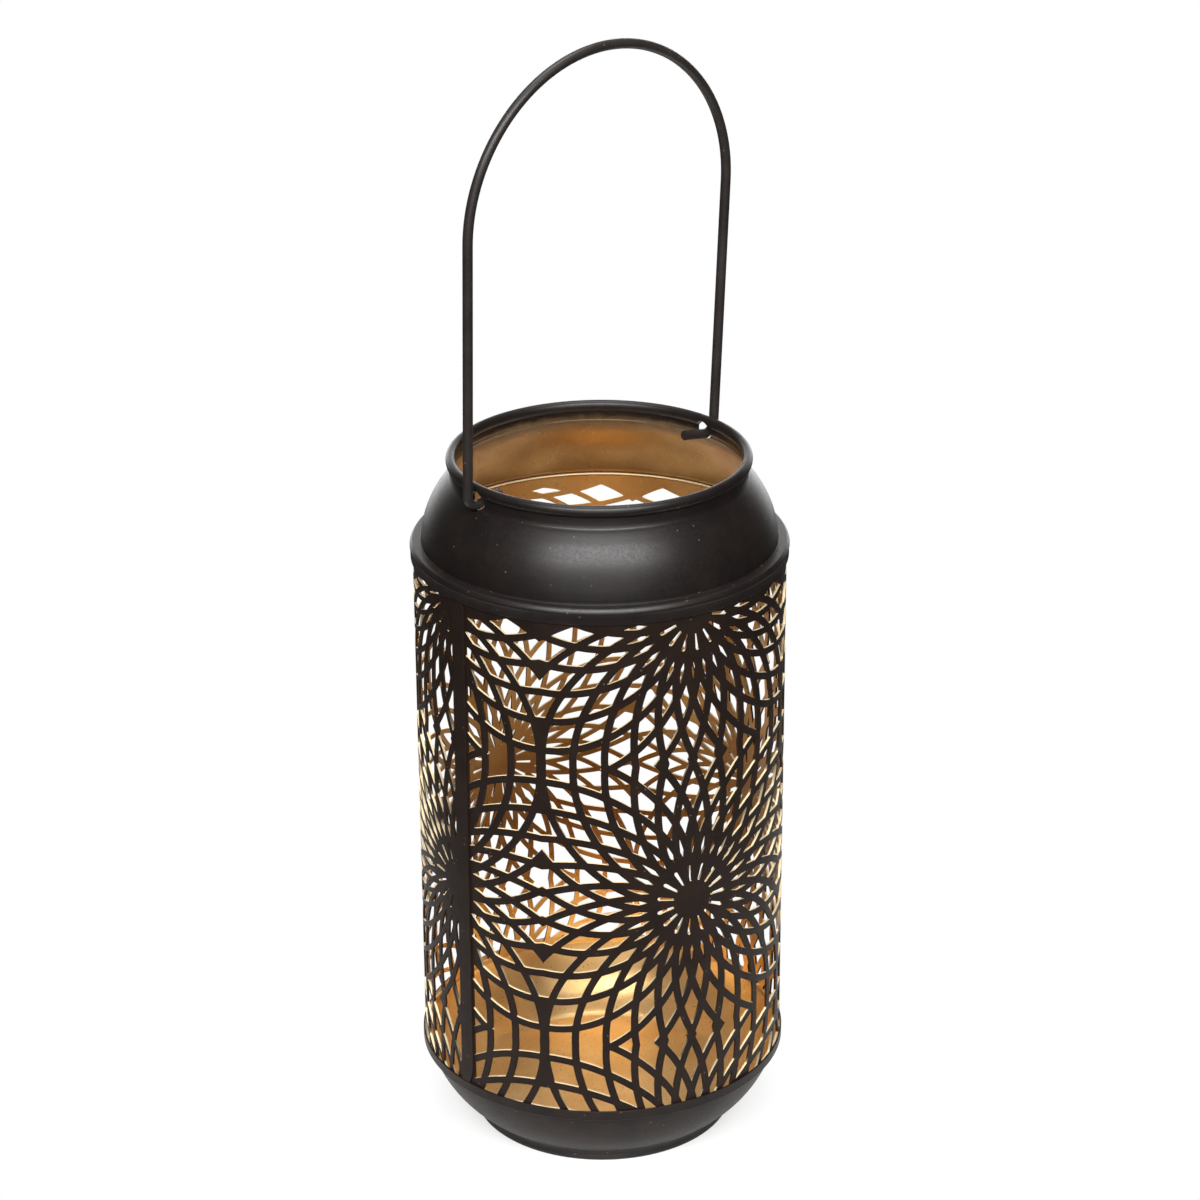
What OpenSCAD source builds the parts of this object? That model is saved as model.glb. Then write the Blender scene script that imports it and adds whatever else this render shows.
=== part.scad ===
/* [Pierced sleeve] */
// Outer radius of the rolled, pierced sheet
sleeve_r = 75; // [65:1:85]
// Thickness of the pierced sheet
sleeve_t = 1.2; // [1:0.1:1.6]
// Height of the sheet, from the cup's ledge to the collar's flange
sleeve_h = 222.2; // [180:1:260]
// Width of the lap where the rolled sheet closes on itself
lap_w = 7; // [5:0.5:9]

/* [Pierced pattern] */
// Arms that curl each way out of a rosette
arms = 16; // [12:4:20]
// Width of one pattern cell, measured along the sheet
cell_w = 123.4; // [112:0.2:134]
// Height of one pattern cell
cell_h = 123.9; // [112:0.2:134]
// Height of the lower row of rosettes above the table
rosette_z = 128.3; // [118:0.5:138]
// Width of the bars between the holes
bar_w = 2.8; // [2.2:0.1:3.4]
// Plain border of the sheet under the collar
top_border = 4; // [2:0.5:10]

/* [Collar] */
// Thickness of the sheet of the collar and the cup
sheet_t = 0.8; // [0.6:0.1:1]
// Outer radius of the neck, between the rim and the dome
neck_r = 59.4; // [54:0.2:60.4]
// Outer radius of the dome at its foot
dome_r = 71.6; // [70:0.2:73]
// Height of the dome above the flange
dome_h = 27.8; // [22:0.2:34]
// Height of the straight neck above the dome
neck_h = 3.4; // [3:0.1:5]
// Width of the rolled rim
rim_w = 4; // [3.2:0.1:4.2]
// Height of the rolled rim
rim_h = 4.8; // [4:0.1:6]
// Thickness of the flange that sits on the sleeve's top edge
flange_t = 3; // [2.4:0.1:3.6]
// How far the flange's edge stands out past the skirt
flange_over = 0.2; // [0.2:0.05:0.5]
// Depth of the skirt round the sleeve's top edge
skirt_h = 3.6; // [2.5:0.1:6]
// Radius of the two holes that hold the bail
hole_r = 3.9; // [3.2:0.1:4.4]
// How far the line through these holes lies off the lantern's axis
hole_off = 2.4; // [0:0.1:3]

/* [Base cup] */
// Height of the ledge that the sleeve stands on
ledge_z = 33.1; // [28:0.1:40]
// Height of the lip round the sleeve's bottom edge
lip_h = 3.4; // [2.5:0.1:5]
// Radius of the curve of the cup's wall
bowl_r = 47.8; // [44:0.2:56]
// Height of the floor that the candle stands on
floor_z = 6; // [5:0.1:8]
// Outer radius of the foot ring
foot_r = 54.4; // [50:0.2:56]
// Width of the foot ring
foot_w = 3.2; // [2.4:0.1:4]
// Height of the foot ring
foot_h = 3.4; // [2.6:0.1:3.6]

/* [Bail] */
// Radius of the bail's wire
wire_r = 2; // [1.5:0.1:2.4]
// Gap between the bail's legs and the rim
leg_gap = 1.1; // [1:0.1:2.4]
// How far the legs spread, as an angle off upright
spread_a = 0.7; // [0:0.1:2]
// Height of the straight legs above the hinge line
leg_h = 107; // [80:1:140]
// Inner radius of the bend at the foot of each leg
bend_in = 2.5; // [2.3:0.1:3.5]
// How far the hooks reach inside the neck
hook_in = 11; // [7:0.5:16]
// How far the bail has slid along its hinge line
bail_shift = 0.8; // [0:0.1:0.8]

/* [Hidden] */
$fn = 180;

// gap between the sleeve and the skirt or lip round it
fit = 0.1;
// gap under the wire where it lies in its hole
rest_gap = 0.2;
// all cuts run past the sheet by this much
over = 2;
// the least width and the least side of a hole that the punch makes
least_w = 2.2;
least_side = 0.35;
// how far a hole stays from the lap's two edges
lap_edge = 0.4;
// how far the lap stops short of the lip and the skirt
lap_gap = 0.3;
// the wire thins by this much in a bend, and the straight wire runs this far into the bend
bend_thin = 0.05;
bend_lap = 0.2;

// angles: where the lap's edge and the first rosette lie, and the bail's lean and hooks
lap_a = -175;
rosette_a = -101.54;
lean_a = 2.6;
hook_a = 10;

// levels, from the table up
lip_z = ledge_z + lip_h;
seat_z = ledge_z + sleeve_h;
skirt_z = seat_z - skirt_h;
flange_z = seat_z + flange_t;
neck_z = flange_z + dome_h;
rim_z = neck_z + neck_h + rim_h / 2;
hole_z = neck_z + neck_h * 0.62;
hinge_z = hole_z - hole_r + wire_r + rest_gap;

// radii of what fits round the sleeve
lip_in = sleeve_r + fit;
lip_r = lip_in + sheet_t;
rim_mid = neck_r - sheet_t / 2;
rim_r = rim_mid + rim_w / 2;

// the rolled rim is widest at its middle; the legs pass it with leg_gap to spare
bend_r = bend_in + wire_r;
leg_x = rim_r + leg_gap + wire_r;
bend_x = leg_x - bend_r;

// arms of a rosette, as shares of the cell's width: the radius at the hub, its growth
// for each degree of curl, and how that growth slows past slow_a
start_share = 0.0833;
grow_share = 0.01702;
slow_share = 0.000201;
slow_a = 24;
far_a = 58;
// hub, ring of spoke holes and solid ring, as shares of the cell's width
hub_share = 0.064;
spoke_share = 0.1295;
ring_share = 0.161;

// dome outline from the neck down: share of the step out, share of the dome's height
dome_shares = [
    [0, 1], [0.042, 0.954], [0.133, 0.911], [0.255, 0.846], [0.406, 0.757],
    [0.576, 0.636], [0.733, 0.501], [0.861, 0.353], [0.945, 0.205], [0.988, 0.088],
    [1, 0.03]
];
// flange's edge from its top out and down: share of its overhang, share of its thickness
edge_shares = [[0, 1], [0.7, 0.84], [1, 0.64], [1, 0.42], [0.7, 0.24], [0, 0.14]];

// plane geometry
function turn(v) = [v[1], -v[0]];
function unit(v) = v / norm(v);
function next(p, i) = p[(i + 1) % len(p)];
function flip(p) = [for (i = [len(p) - 1:-1:0]) p[i]];
// the part of an outline with point * n below d
function clip(p, n, d) = [
    for (i = [0:len(p) - 1])
        let (a = p[i], b = next(p, i), u = a * n - d, v = b * n - d)
            each concat(u <= 0 ? [a] : [], u * v < 0 ? [a + (b - a) * u / (u - v)] : [])
];
function clipped(p, n, d) = len(p) < 3 ? [] : clip(p, n, d);
// an outline with every edge drawn in by w; edges are those of the full outline q
function inset(p, q, w, i = 0) = i == len(q) ? p :
    let (n = turn(unit(next(q, i) - q[i])))
        inset(clipped(p, n, q[i] * n - w), q, w, i + 1);
function area(p) = abs([
    for (i = [0:len(p) - 1])
        p[i][0] * next(p, i)[1] - p[i][1] * next(p, i)[0]
] * [for (i = p) 0.5]);
function tidy(p) = [for (i = [0:len(p) - 1]) if (norm(next(p, i) - p[i]) > least_side) p[i]];
function middle(p) = [
    (min([for (q = p) q[0]]) + max([for (q = p) q[0]])) / 2,
    (min([for (q = p) q[1]]) + max([for (q = p) q[1]])) / 2
];
function reach(p, n) = max([for (q = p) q * n]);

// joins an outline that ends on the line point * n = d to its mirror image there
function on(q, n, d) = abs(q * n - d) < fit / 1000;
function cut_index(p, n, d) = [
    for (i = [0:len(p) - 1])
        if (on(p[i], n, d) && on(next(p, i), n, d)) i
][0];
function mirrored(q, n, d) = q - 2 * (q * n - d) * n;
function joined(p, n, d) =
    let (
        i = cut_index(p, n, d),
        c = len(p),
        s = i == undef ? p : [for (k = [0:c - 1]) p[(i + 1 + k) % c]]
    )
    i == undef ? p : concat(s, [for (k = [c - 2:-1:1]) mirrored(s[k], n, d)]);

// the pattern of one cell, with its rosette in the middle
half_w = cell_w / 2;
half_h = cell_h / 2;
half_a = 180 / arms;
function arm_r(a) = cell_w *
    (start_share + grow_share * a - slow_share * pow(max(0, a - slow_a), 2));
function ray(a) = [-sin(a), -cos(a)];
function knot(k, m) = arm_r(m * half_a) * ray(k * half_a);
function mesh(k, m) = [knot(k, m - 1), knot(k + 1, m), knot(k, m + 1), knot(k - 1, m)];
function in_cell(p) = clipped(clipped(clipped(clipped(p, [1, 0], half_w), [-1, 0], half_w),
    [0, 1], half_h), [0, -1], half_h);
function hole(k, m) =
    let (q = mesh(k, m), n = ray(k * half_a))
        in_cell(clipped(inset(q, q, bar_w / 2), -n, -ring_share * cell_w));
// a hole on the cell's right or upper edge is joined to its twin in the next cell; one on
// the left or lower edge belongs to the cell before
function own(p) = len(p) > 2 && reach(p, [-1, 0]) < half_w - fit &&
    reach(p, [0, -1]) < half_h - fit;
function whole(p) =
    let (
        a = joined(p, [1, 0], half_w),
        b = [for (q = a) if (norm(q - [half_w, half_h]) > fit) q]
    )
    joined(b, [0, 1], half_h);
holes = [
    for (k = [0:2 * arms - 1], m = [1:floor(far_a / half_a)])
        if ((k + m) % 2 == 1)
            let (p = hole(k, m))
                if (own(p)) whole(p)
];
// slots between the hub and the ring, one for each second arm
function spoke(a) =
    let (
        s = ray(a),
        t = turn(s) * bar_w / 2,
        i = hub_share * cell_w,
        o = spoke_share * cell_w,
        w = (o - bar_w / 4) / o
    )
    [s * i + t * 0.7, s * o * w + t, s * o, s * o * w - t, s * i - t * 0.7];
spokes = [for (k = [0:arms / 2 - 1]) spoke((4 * k + 1) * half_a)];

// the sheet laid flat: from the lap's edge round to the lap again
mm_per_deg = sleeve_r * PI / 180;
flat_low = (lap_a - rosette_a) * mm_per_deg + lap_edge;
flat_high = (lap_a - rosette_a + 360) * mm_per_deg - lap_w - lap_edge;
punch_low = lip_z - sleeve_t;
punch_high = seat_z - top_border;
function punched(p) =
    clipped(clipped(clipped(p, [-1, 0], -flat_low), [1, 0], flat_high), [0, -1], -punch_low);
function big(p) = len(p) > 2 && area(p) > least_w * least_w;
columns = [floor(flat_low / cell_w):1:ceil(flat_high / cell_w)];
rows = [-ceil(rosette_z / cell_h):1:ceil(seat_z / cell_h)];

module punch(p) {
    c = middle(p);
    rotate([0, 0, rosette_a + c[0] / mm_per_deg])
        translate([sleeve_r - sleeve_t - over, 0, 0])
            rotate([90, 0, 90])
                linear_extrude(sleeve_t + 2 * over)
                    polygon([for (q = p) [q[0] - c[0], q[1]]]);
}

module pattern() {
    for (i = columns, j = rows) {
        at = [i * cell_w, rosette_z + j * cell_h];
        turned = (i + j) % 2 == 0 ? 1 : -1;
        for (p = concat(holes, [for (s = spokes) [for (q = s) [turned * q[0], q[1]]]])) {
            q = punched([for (v = p) v + at]);
            if (big(q) && reach(q, [0, 1]) < punch_high)
                punch(tidy(q));
        }
    }
}

module ring(r_in, r_out, low, high) {
    translate([0, 0, low])
        difference() {
            cylinder(r = r_out, h = high - low);
            translate([0, 0, -over])
                cylinder(r = r_in, h = high - low + 2 * over);
        }
}

// rolled sheet with its lap, pierced all over
module pierced_sleeve() {
    color("dimgray")
        difference() {
            union() {
                ring(sleeve_r - sleeve_t, sleeve_r, ledge_z, seat_z);
                // lap
                rotate([0, 0, lap_a - lap_w / mm_per_deg])
                    rotate_extrude(angle = lap_w / mm_per_deg)
                        translate([sleeve_r - sleeve_t, lip_z + lap_gap])
                            square([2 * sleeve_t, skirt_z - lip_z - 2 * lap_gap]);
            }
            pattern();
        }
}

// smooth line through points: three steps on each stretch
function smooth_at(a, b, c, d, t) = 0.5 * (2 * b + (c - a) * t
    + (2 * a - 5 * b + 4 * c - d) * t * t + (3 * b - a - 3 * c + d) * t * t * t);
function smooth(p) = concat([
    for (i = [0:len(p) - 2], k = [0:2])
        smooth_at(p[max(i - 1, 0)], p[i], p[i + 1], p[min(i + 2, len(p) - 1)], k / 3)
], [p[len(p) - 1]]);
// the same line one sheet further in
function drawn_in(p, t) = [
    for (i = [0:len(p) - 1])
        p[i] + t * turn(unit(p[min(i + 1, len(p) - 1)] - p[max(i - 1, 0)]))
];
function arc(c, r, a, b, n) = [for (i = [0:n]) c + r * [cos(a + (b - a) * i / n),
    sin(a + (b - a) * i / n)]];

// rim outline, from the neck's outer face over the top to its inner face
rim_a = asin(sheet_t / rim_w);
rim_line = [
    for (i = [0:20])
        let (a = rim_a - 90 + (360 - 2 * rim_a) * i / 20)
            [rim_mid + rim_w / 2 * cos(a), rim_z + rim_h / 2 * sin(a)]
];
dome_line = smooth([
    for (s = dome_shares)
        [neck_r + s[0] * (dome_r - neck_r), flange_z + s[1] * dome_h]
]);
dome_inner = drawn_in(dome_line, sheet_t);
dome_end = dome_inner[len(dome_inner) - 1];
flange_line = [
    for (s = edge_shares)
        [lip_r + s[0] * flange_over, seat_z + s[1] * flange_t]
];
collar_line = concat(
    flip(rim_line), dome_line, [[dome_r + sheet_t / 2, flange_z]], flange_line,
    [[lip_r, skirt_z], [lip_in, skirt_z], [lip_in, seat_z], [dome_end[0], seat_z]],
    flip(dome_inner)
);

// rolled rim, neck, dome, flange and skirt, pressed from one sheet
module collar() {
    color("slategray")
        difference() {
            rotate_extrude()
                polygon(collar_line);
            translate([-rim_r - over, hole_off, hole_z])
                rotate([0, 90, 0])
                    cylinder(r = hole_r, h = 2 * (rim_r + over));
        }
}

// the cup's wall is an arc from the foot's groove up to the ledge
groove_r = foot_r - foot_w * 0.6;
groove_z = foot_h + sheet_t * 0.7;
wall_low = [groove_r + sheet_t * 2, groove_z + sheet_t * 0.4];
wall_high = [sleeve_r - sleeve_t - fit, ledge_z - sheet_t];
chord = norm(wall_high - wall_low);
wall_mid = (wall_high + wall_low) / 2 - sqrt(bowl_r * bowl_r - chord * chord / 4)
    * turn((wall_high - wall_low) / chord);
low_a = atan2(wall_low[1] - wall_mid[1], wall_low[0] - wall_mid[0]);
high_a = atan2(wall_high[1] - wall_mid[1], wall_high[0] - wall_mid[0]);
inner_r = bowl_r - sheet_t;
top_a = asin((ledge_z - wall_mid[1]) / inner_r);
floor_a = asin((floor_z - wall_mid[1]) / inner_r);
// the floor runs into the wall by a soft fillet that starts sheet_t * 3 before the corner
floor_end = wall_mid + inner_r * [cos(floor_a), sin(floor_a)];
fillet_a = floor_a + 3 * sheet_t / inner_r * 180 / PI;
fillet_end = wall_mid + inner_r * [cos(fillet_a), sin(fillet_a)];
fillet_start = floor_end - [3 * sheet_t, 0];
fillet = [
    for (i = [0:5])
        let (t = i / 5)
            (1 - t) * (1 - t) * fillet_start + 2 * t * (1 - t) * floor_end
            + t * t * fillet_end
];
foot_c = foot_h / 5;
cup_line = concat(
    [
        [0, floor_z - sheet_t], [foot_r - foot_w, floor_z - sheet_t],
        [foot_r - foot_w, foot_c], [foot_r - foot_w + foot_c, 0],
        [foot_r - foot_c, 0], [foot_r, foot_c], [foot_r, foot_h - foot_c],
        [foot_r - foot_c, foot_h], [groove_r, foot_h + sheet_t / 4], [groove_r, groove_z]
    ],
    arc(wall_mid, bowl_r, low_a, high_a, 14),
    [[lip_r, ledge_z - sheet_t], [lip_r, lip_z], [lip_in, lip_z], [lip_in, ledge_z]],
    arc(wall_mid, inner_r, top_a, fillet_a, 12),
    flip([for (i = [0:4]) fillet[i]]),
    [[0, floor_z]]
);

// lip, ledge, curved wall, floor and foot ring
module base_cup() {
    color("darkgoldenrod")
        rotate_extrude()
            polygon(cup_line);
}

module wire(length) {
    cylinder(r = wire_r, h = length, $fn = 36);
}

module wire_bend(r, a) {
    rotate_extrude(angle = a)
        translate([r, 0])
            circle(r = wire_r - bend_thin, $fn = 36);
}

// legs run from the bend at their foot, spreading, up to the arch
leg_len = (leg_h - bend_r + bend_r * sin(spread_a)) / cos(spread_a);
arch_r = (bend_x + bend_r * cos(spread_a) + leg_len * sin(spread_a)) / cos(spread_a);
hook_len = hook_in + (bend_x - neck_r + sheet_t - bend_r * sin(hook_a)) / cos(hook_a);

// one leg with the bend and the hook at its foot; the hinge line is the X axis
module bail_leg() {
    translate([bend_x, 0, bend_r]) {
        rotate([0, spread_a, 0])
            translate([bend_r, 0, -bend_lap])
                wire(leg_len + 2 * bend_lap);
        rotate([90, 0, 0])
            rotate([0, 0, -90 - hook_a])
                wire_bend(bend_r, 90 + hook_a - spread_a);
        rotate([0, hook_a, 0])
            translate([bend_lap, 0, -bend_r])
                rotate([0, -90, 0])
                    wire(hook_len + bend_lap);
    }
}

// carrying handle of round wire, hooked into the neck's two holes
module bail() {
    color("firebrick")
        translate([-bail_shift, hole_off, hinge_z])
            rotate([lean_a, 0, 0]) {
                bail_leg();
                mirror([1, 0, 0])
                    bail_leg();
                translate([0, 0, leg_h + arch_r * sin(spread_a)])
                    rotate([90, 0, 0])
                        rotate([0, 0, -spread_a])
                            wire_bend(arch_r, 180 + 2 * spread_a);
            }
}

collar();
pierced_sleeve();
base_cup();
bail();
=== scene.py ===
import math

import bmesh
import bpy
from mathutils import Matrix, Vector, kdtree
from mathutils.geometry import delaunay_2d_cdt


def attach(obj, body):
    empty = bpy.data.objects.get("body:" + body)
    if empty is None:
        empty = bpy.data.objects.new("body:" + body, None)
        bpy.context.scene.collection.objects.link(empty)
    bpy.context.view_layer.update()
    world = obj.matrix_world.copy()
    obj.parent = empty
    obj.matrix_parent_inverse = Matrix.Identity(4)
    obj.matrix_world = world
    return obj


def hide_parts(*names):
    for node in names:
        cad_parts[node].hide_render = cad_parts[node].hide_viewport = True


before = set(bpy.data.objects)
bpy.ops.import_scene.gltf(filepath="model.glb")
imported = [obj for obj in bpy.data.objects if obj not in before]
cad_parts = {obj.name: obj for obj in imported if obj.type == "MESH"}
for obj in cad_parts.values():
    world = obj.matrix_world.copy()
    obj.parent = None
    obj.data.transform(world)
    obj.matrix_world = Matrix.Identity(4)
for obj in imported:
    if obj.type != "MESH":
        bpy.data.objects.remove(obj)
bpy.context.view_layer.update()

bl_info = {
    "name": "Pierced candle lantern",
    "version": (1, 0, 0),
    "blender": (4, 5, 0),
    "location": "3D View > Sidebar > Lantern",
    "description": "A pierced sheet-metal candle lantern with a wire bail, and its studio",
    "category": "Object",
}

MM = 0.001

# Play between the sleeve and the sheet on either side of it
FIT = 0.1 * MM
# What the edges of the pressed sheet are eased by
EASE = 0.2 * MM
# Height of the bail's holes in the neck, as a share of the neck's height
HOLE_SHARE = 0.62


# Sizes and colours

def length(name, description, default):
    """A length in metres, given here in millimetres."""
    return bpy.props.FloatProperty(
        name=name, description=description, default=default * MM, min=0.0,
        subtype="DISTANCE", unit="LENGTH", precision=4)


def angle(name, description, default):
    """An angle, given here in degrees."""
    return bpy.props.FloatProperty(
        name=name, description=description, default=math.radians(default),
        subtype="ANGLE", unit="ROTATION")


def power(name, description, default):
    """The power of a lamp in watts."""
    return bpy.props.FloatProperty(
        name=name, description=description, default=default, min=0.0, unit="POWER")


def brightness(name, description, default):
    """How bright a surface glows: 1 is white."""
    return bpy.props.FloatProperty(name=name, description=description, default=default, min=0.0)


def linear(code):
    """Scene-linear RGBA of an sRGB hex colour."""
    values = [int(code[i:i + 2], 16) / 255 for i in (1, 3, 5)]
    return [v / 12.92 if v <= 0.04045 else ((v + 0.055) / 1.055) ** 2.4 for v in values] + [1.0]


def colour(name, description, default):
    """A colour, given here as an sRGB hex code."""
    return bpy.props.FloatVectorProperty(
        name=name, description=description, default=linear(default), size=4,
        min=0.0, max=1.0, subtype="COLOR")


class LanternSleeveSizes(bpy.types.PropertyGroup):
    """The rolled, pierced sheet and its pattern."""
    radius: length("Radius", "Outer radius of the rolled sheet", 75)
    thickness: length("Sheet", "Thickness of the pierced sheet", 0.9)
    bottom: length("Bottom edge", "Height of the ledge that the sheet stands on", 33.1)
    top: length("Top edge", "Height of the flange that rests on the sheet", 255.3)
    lap_width: length("Lap width", "Width of the lap where the sheet closes on itself", 7)
    lap_angle: angle("Lap place", "Angle of the lap's free edge round the axis", -175)
    arms: bpy.props.IntProperty(
        name="Arms", description="Arms that curl each way out of a rosette",
        default=30, min=12, max=40)
    rosette_angle: angle("Rosette place", "Angle of the front rosettes round the axis", -101.54)
    rosette_height: length("Rosette height", "Height of the lower row of rosettes", 128.3)
    cell_width: length("Cell width", "Width of one pattern cell along the sheet", 123.4)
    cell_height: length("Cell height", "Height of one pattern cell", 123.9)
    bar_width: length("Bar width", "Width of the bars between the holes", 2.95)
    corner_radius: length("Hole corner", "Radius that paint leaves in the corners of a hole", 0.5)
    plain_top: length("Top border", "Plain border under the collar", 4)


class LanternCollarSizes(bpy.types.PropertyGroup):
    """Rolled rim, neck, dome, flange and skirt."""
    sheet: length("Sheet", "Thickness of the sheet of the collar and the cup", 0.8)
    neck_radius: length("Neck radius", "Outer radius of the neck", 59.4)
    dome_radius: length("Dome radius", "Outer radius of the dome at its foot", 71.6)
    dome_height: length("Dome height", "Height of the dome above the flange", 27.8)
    neck_height: length("Neck height", "Height of the straight neck above the dome", 3.4)
    rim_width: length("Rim width", "Width of the rolled rim", 4)
    rim_height: length("Rim height", "Height of the rolled rim", 4.8)
    flange_height: length("Flange height", "Thickness of the flange", 3)
    flange_over: length("Flange edge", "How far the flange stands out past the skirt", 0.2)
    skirt_height: length("Skirt height", "Depth of the skirt below the flange", 3.6)
    hole_radius: length("Bail hole", "Radius of the two holes that hold the bail", 3.9)
    hole_offset: length("Hole line", "How far off the axis the line through these holes is", 2.4)


class LanternCupSizes(bpy.types.PropertyGroup):
    """Lip, ledge, curved wall, floor and foot ring."""
    lip_height: length("Lip height", "Height of the lip round the sleeve", 3.4)
    bowl_radius: length("Wall curve", "Radius of the curve of the cup's wall", 47.8)
    floor_height: length("Floor", "Height of the floor that a candle stands on", 6)
    foot_radius: length("Foot radius", "Outer radius of the foot ring", 54.4)
    foot_width: length("Foot width", "Width of the foot ring", 3.2)
    foot_height: length("Foot height", "Height of the foot ring", 3.4)


class LanternBailSizes(bpy.types.PropertyGroup):
    """The bent wire that the lantern is carried by."""
    wire_radius: length("Wire radius", "Radius of the bail's wire", 2)
    leg_gap: length("Leg gap", "Gap between the legs and the rim", 1.1)
    leg_height: length("Leg height", "Height of the straight legs above the hinge line", 107)
    spread: angle("Spread", "How far each leg spreads outward", 0.7)
    bend_radius: length("Bend", "Radius of the wire's middle in the bend under a leg", 4.5)
    hook_length: length("Hook", "How far the hooks reach inside the neck", 11)
    shift: length("Shift", "How far the bail has slid along its hinge line", 0.8)
    lean: angle("Lean", "How far the bail leans at rest", 2.6)
    hook_angle: angle("Hook slope", "How far the hooks slope up inside the neck", 10)


class LanternFinish(bpy.types.PropertyGroup):
    """Colours of the black coats and the gold paints."""
    coat: colour("Black coat", "Powder coat on the collar and the cup", "#120e0d")
    coat_worn: colour("Coat, thin", "The same coat where it lies thin", "#1d1613")
    sheet_coat: colour("Sheet coat", "Browner powder coat on the pierced sheet", "#19110d")
    sheet_worn: colour("Sheet coat, thin", "The same coat where it lies thin", "#231914")
    wire_coat: colour("Wire coat", "Powder coat on the bail", "#211d1b")
    wire_worn: colour("Wire coat, thin", "The same coat where it lies thin", "#2d2825")
    speck: colour("Dust specks", "Dust that settled on the powder coats", "#544d48")
    # the cut edges' two colours are painted light: pale on the edges that face up is a painted
    # highlight, dark on the other edges is painted shade
    edge: colour("Cut edges", "Thin paint on the cut edges that face up", "#f6e2b8")
    edge_side_in_painted_shade: colour("Cut edges, sides", "Thin paint on the other cut edges", "#2e2014")
    gold: colour("Gold paint", "Bronze-pigment paint inside the collar", "#ac8856")
    gold_deep: colour("Gold paint, thick", "The same paint where it lies thick", "#987042")
    cup_gold: colour("Cup paint", "Bronze-pigment paint inside the cup and the sleeve", "#f2cf92")
    cup_deep: colour("Cup paint, thick", "The same paint where it lies thick", "#e2b675")


class LanternStudio(bpy.types.PropertyGroup):
    """Camera, lamps, table and room."""
    lens: bpy.props.FloatProperty(
        name="Lens", description="Focal length on a 36 mm sensor", default=107.34, unit="CAMERA")
    distance: length("Camera distance", "Level distance from the axis to the camera", 1327.5)
    height: length("Camera height", "Height of the camera above the table", 799.8)
    around: angle("Camera place", "Angle of the camera round the axis", -130.4)
    down: angle("Camera tilt", "How far the camera looks down", 23.233)
    roll: angle("Camera roll", "How far the camera is rolled", 0.338)
    key: power("Key light", "Power of the wide softbox behind the camera", 90)
    low: power("Low light", "Power of the low softbox under the camera", 8)
    overhead: power("Overhead light", "Power of the softbox over the lantern", 16)
    floor: colour("Table", "Colour of the table under the lantern", "#f4f3f1")
    box: brightness("Light box", "Brightness of the light box under the table", 0.12)
    wall: brightness("Wall", "Brightness of the white wall behind the lantern", 4.0)
    room: brightness("Room", "Brightness of the dark room round it", 0.05)


GROUPS = {
    "lantern_sleeve": LanternSleeveSizes,
    "lantern_collar": LanternCollarSizes,
    "lantern_cup": LanternCupSizes,
    "lantern_bail": LanternBailSizes,
    "lantern_finish": LanternFinish,
    "lantern_studio": LanternStudio,
}


# Materials

# Painted shade on the gold paint in the sleeve, by share of its height: darker and browner
# # between its two ends, lighter towards them
PAINTED_SHADE_BY_HEIGHT = ((0.05, "#ffffff"), (0.17, "#ad9981"), (0.29, "#8b7359"), (0.42, "#8b7359"),
            (0.52, "#b39e86"), (0.64, "#e5d1bc"), (0.85, "#ffefda"))


def add_node(tree, kind, settings=None, links=None, stops=()):
    """Adds a node, sets its attributes and inputs by name, links its inputs, and gives a
    colour ramp its stops of (position, colour)."""
    node = tree.nodes.new(kind)
    for name, value in (settings or {}).items():
        if isinstance(name, str) and hasattr(node, name):
            setattr(node, name, value)
        else:
            node.inputs[name].default_value = value
    for name, source in (links or {}).items():
        tree.links.new(source, node.inputs[name])
    if stops:
        elements = node.color_ramp.elements
        while len(elements) < len(stops):
            elements.new(0.5)
        for element, (position, value) in zip(elements, stops):
            element.position = position
            element.color = value
    return node


def new_material(name):
    """An empty node material and its tree."""
    material = bpy.data.materials.new(name)
    material.use_nodes = True
    material.node_tree.nodes.clear()
    return material, material.node_tree


def material_once(name, make, *values, **settings):
    """The material of this name, made on first use."""
    return bpy.data.materials.get(name) or make(name, *values, **settings)


def lumps(millimetres):
    """Scale of a texture whose lumps are about this many millimetres across."""
    return 1 / (millimetres * MM)


def grey(value):
    """RGBA of an even grey, from 0 for black to 1 for white."""
    return (value, value, value, 1.0)


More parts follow.
